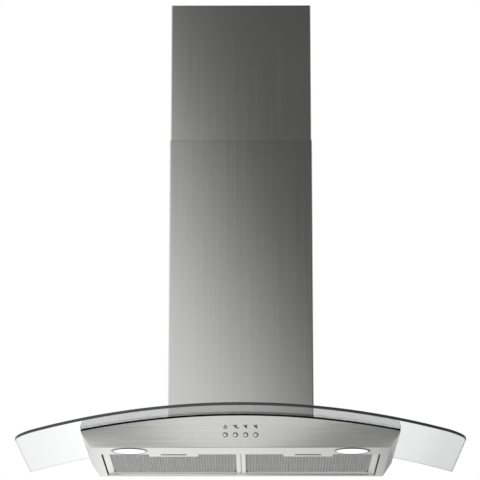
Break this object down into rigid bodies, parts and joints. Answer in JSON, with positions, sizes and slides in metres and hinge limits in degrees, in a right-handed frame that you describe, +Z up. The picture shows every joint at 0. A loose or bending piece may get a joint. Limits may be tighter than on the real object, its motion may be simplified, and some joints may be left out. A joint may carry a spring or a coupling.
{
  "type": "range hood",
  "caption": "Wall-mounted range hood with an arched glass canopy, a slim steel tray with push buttons, lamps and drop-down grease filters, and a telescoping square chimney.",
  "frame": {"origin": "on the wall plane, midway between the two wall screws of the air box, 200 mm above the flat underside of the hood", "axes": "+X to the right as seen from the front, +Y into the wall, +Z up"},
  "size_m": [0.898, 0.5, 0.9825],
  "materials": {
    "brushed_steel": "brushed stainless steel",
    "lamp_trim": "satin chromed ring",
    "button_steel": "polished steel caps",
    "clear_glass": "clear tempered glass with a smoky polished edge",
    "lamp_glass": "frosted diffuser",
    "black_seal": "black rubber strip",
    "galvanised_sheet": "galvanised sheet",
    "filter_rim": "satin aluminium",
    "filter_mesh": "layers of expanded aluminium mesh",
    "latch_plastic": "dark moulded latch",
    "black_plastic": "black moulded plastic",
    "grey_plastic": "grey moulded plastic",
    "white_plastic": "white moulded plastic",
    "motor_paint": "painted motor can",
    "bright_steel": "zinc plated steel",
    "rubber": "black rubber bushes",
    "nylon": "natural nylon"
  },
  "bodies": {
    "root": {"canopy_body": "brushed_steel", "lower_chimney": "brushed_steel", "lamp_ring_left": "lamp_trim", "lamp_ring_right": "lamp_trim", "glass_canopy": "clear_glass", "lamp_lens_left": "lamp_glass", "lamp_lens_right": "lamp_glass", "glass_gasket": "black_seal", "canopy_top_plate": "galvanised_sheet", "inner_frame": "galvanised_sheet", "airbox_shell": "galvanised_sheet", "airbox_front_cover": "galvanised_sheet", "chimney_clips": "galvanised_sheet", "terminal_box": "black_plastic", "terminal_box_lid": "black_plastic", "cable_gland": "black_plastic", "outlet_collar": "black_plastic", "button_guide": "black_plastic", "switch_module": "black_plastic", "scroll_front": "grey_plastic", "scroll_back": "grey_plastic", "capacitor": "grey_plastic", "lamp_led_left": "white_plastic", "lamp_led_right": "white_plastic", "lamp_driver": "white_plastic", "lamp_housing_left": "white_plastic", "lamp_housing_right": "white_plastic", "motor": "motor_paint", "damper_spindle": "bright_steel", "cover_screws": "bright_steel", "lower_chimney_screws": "bright_steel", "glass_screws": "bright_steel", "motor_bushes": "rubber", "glass_washers": "nylon"},
    "chimney_upper": {"upper_chimney": "brushed_steel", "ceiling_bracket": "galvanised_sheet", "chimney_screws": "bright_steel"},
    "fan": {"impeller": "grey_plastic", "motor_shaft": "bright_steel"},
    "flap_left": {"damper_flap_left": "black_plastic"},
    "flap_right": {"damper_flap_right": "black_plastic"},
    "light_button": {"button_light": "button_steel"},
    "speed_button_1": {"button_speed_1": "button_steel"},
    "speed_button_2": {"button_speed_2": "button_steel"},
    "speed_button_3": {"button_speed_3": "button_steel"},
    "filter_left": {"filter_frame_left": "filter_rim", "filter_mesh_left": "filter_mesh", "filter_latch_plate_left": "filter_rim"},
    "filter_right": {"filter_frame_right": "filter_rim", "filter_mesh_right": "filter_mesh", "filter_latch_plate_right": "filter_rim"},
    "latch_left": {"filter_latch_left": "latch_plastic"},
    "latch_right": {"filter_latch_right": "latch_plastic"}
  },
  "joints": [
    {"name": "chimney_slide", "type": "slide", "parent": "root", "child": "chimney_upper", "axis": [0, 0, 1], "range_m": [-0.27, 0.14]},
    {"name": "fan_spin", "type": "hinge", "parent": "root", "child": "fan", "pos_m": [-0.008, -0.11, 0], "axis": [0, 1, 0], "continuous": true},
    {"name": "flap_left_swing", "type": "hinge", "parent": "root", "child": "flap_left", "pos_m": [0, -0.11, 0.175], "axis": [0, 1, 0], "range_deg": [0, 75]},
    {"name": "flap_right_swing", "type": "hinge", "parent": "root", "child": "flap_right", "pos_m": [0, -0.11, 0.175], "axis": [0, -1, 0], "range_deg": [0, 75]},
    {"name": "light_button_push", "type": "slide", "parent": "root", "child": "light_button", "axis": [0, 0.8717, 0.4901], "range_m": [0, 0.0025], "stiffness_N_per_m": 400, "springref_m": -0.001},
    {"name": "speed_button_1_push", "type": "slide", "parent": "root", "child": "speed_button_1", "axis": [0, 0.8717, 0.4901], "range_m": [0, 0.0025], "stiffness_N_per_m": 400, "springref_m": -0.001},
    {"name": "speed_button_2_push", "type": "slide", "parent": "root", "child": "speed_button_2", "axis": [0, 0.8717, 0.4901], "range_m": [0, 0.0025], "stiffness_N_per_m": 400, "springref_m": -0.001},
    {"name": "speed_button_3_push", "type": "slide", "parent": "root", "child": "speed_button_3", "axis": [0, 0.8717, 0.4901], "range_m": [0, 0.0025], "stiffness_N_per_m": 400, "springref_m": -0.001},
    {"name": "filter_left_swing", "type": "hinge", "parent": "root", "child": "filter_left", "pos_m": [-0.1427, -0.0166, -0.192], "axis": [1, 0, 0], "range_deg": [0, 75]},
    {"name": "latch_left_pull", "type": "slide", "parent": "filter_left", "child": "latch_left", "axis": [0, 1, 0], "range_m": [0, 0.006], "stiffness_N_per_m": 300, "springref_m": -0.004},
    {"name": "filter_right_swing", "type": "hinge", "parent": "root", "child": "filter_right", "pos_m": [0.1427, -0.0166, -0.192], "axis": [1, 0, 0], "range_deg": [0, 75]},
    {"name": "latch_right_pull", "type": "slide", "parent": "filter_right", "child": "latch_right", "axis": [0, 1, 0], "range_m": [0, 0.006], "stiffness_N_per_m": 300, "springref_m": -0.004}
  ]
}
